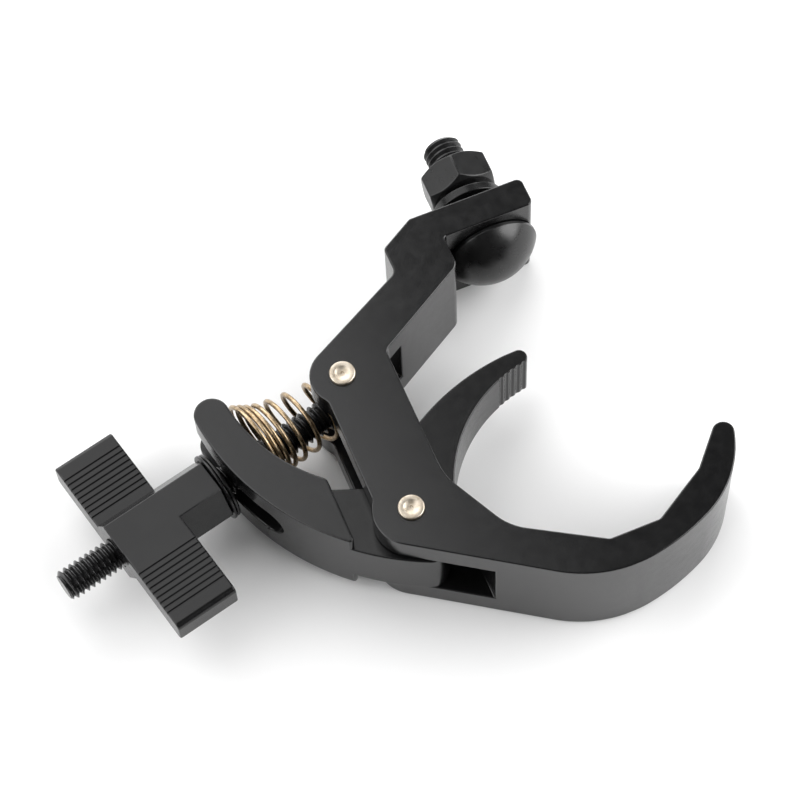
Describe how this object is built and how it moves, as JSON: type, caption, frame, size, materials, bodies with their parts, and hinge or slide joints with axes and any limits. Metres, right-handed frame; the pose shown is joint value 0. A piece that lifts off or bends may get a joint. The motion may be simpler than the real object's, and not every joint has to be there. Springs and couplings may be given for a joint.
{
  "type": "pipe hook clamp",
  "caption": "Slotted hook clamp for round tube: a forked lever jaw closed by a swing bolt and wing nut, a conical return spring, and a fixture plate with bolt and nut.",
  "frame": {"origin": "bottom centre of the bounding box, the clamp lying on its side", "axes": "+Z across the clamp's width, along both hinge pins; +X along the fixture plate, from the wing nut to the hook's tip; +Y the way the fixture bolt points"},
  "size_m": [0.1592, 0.1296, 0.0309],
  "materials": {
    "body_black": "satin black powder coat",
    "jaw_black": "satin black powder coat",
    "pin_steel": "bright nickel plate",
    "thread_black": "glossy black oxide",
    "spring_bronze": "yellow passivated spring wire",
    "washer_black": "black zinc",
    "wing_nut_black": "matt black coat",
    "bolt_black": "black oxide",
    "lock_black": "black oxide spring steel",
    "nut_black": "black oxide"
  },
  "bodies": {
    "frame": {"clamp_body": "body_black", "lower_pin": "pin_steel", "upper_pin": "pin_steel", "fixture_bolt": "bolt_black", "fixture_washer": "washer_black"},
    "jaw": {"jaw_lever": "jaw_black"},
    "swing bolt": {"swing_bolt": "thread_black", "coil_spring": "spring_bronze"},
    "thrust washers": {"collar_washer": "washer_black", "flat_washer": "washer_black"},
    "wing nut": {"wing_nut": "wing_nut_black"},
    "lock washer": {"lock_washer": "lock_black"},
    "fixture nut": {"fixture_nut": "nut_black"}
  },
  "joints": [
    {"name": "swing_bolt_pivot", "type": "hinge", "parent": "frame", "child": "swing bolt", "pos_m": [0.00038, 0.00716, 0.015], "axis": [0, 0, -1], "range_deg": [0, 100]},
    {"name": "nut_travel", "type": "slide", "parent": "swing bolt", "child": "thrust washers", "axis": [0.9724, 0.2334, 0], "range_m": [-0.01126, 0.00601]},
    {"name": "nut_spin", "type": "hinge", "parent": "thrust washers", "child": "wing nut", "pos_m": [0.00038, 0.00716, 0.015], "axis": [0.9724, 0.2334, 0], "range_deg": [-2700, 1440]},
    {"name": "jaw_pivot", "type": "hinge", "parent": "frame", "child": "jaw", "pos_m": [0.00209, -0.03154, 0.015], "axis": [0, 0, -1], "range_deg": [-15, 8], "deforming": ["coil_spring"]},
    {"name": "fixture_nut_travel", "type": "slide", "parent": "frame", "child": "lock washer", "axis": [0, 1, 0], "range_m": [0, 0.006]},
    {"name": "fixture_nut_spin", "type": "hinge", "parent": "lock washer", "child": "fixture nut", "pos_m": [0.04958, 0.04846, 0.015], "axis": [0, 1, 0], "range_deg": [0, 1440]}
  ],
  "couplings": [
    {"joint": "nut_travel", "follows": "nut_spin", "m_per_rad": 0.00023873},
    {"joint": "jaw_pivot", "follows": "nut_spin", "ratio": 0.0055519},
    {"joint": "fixture_nut_travel", "follows": "fixture_nut_spin", "m_per_rad": 0.00023873}
  ]
}
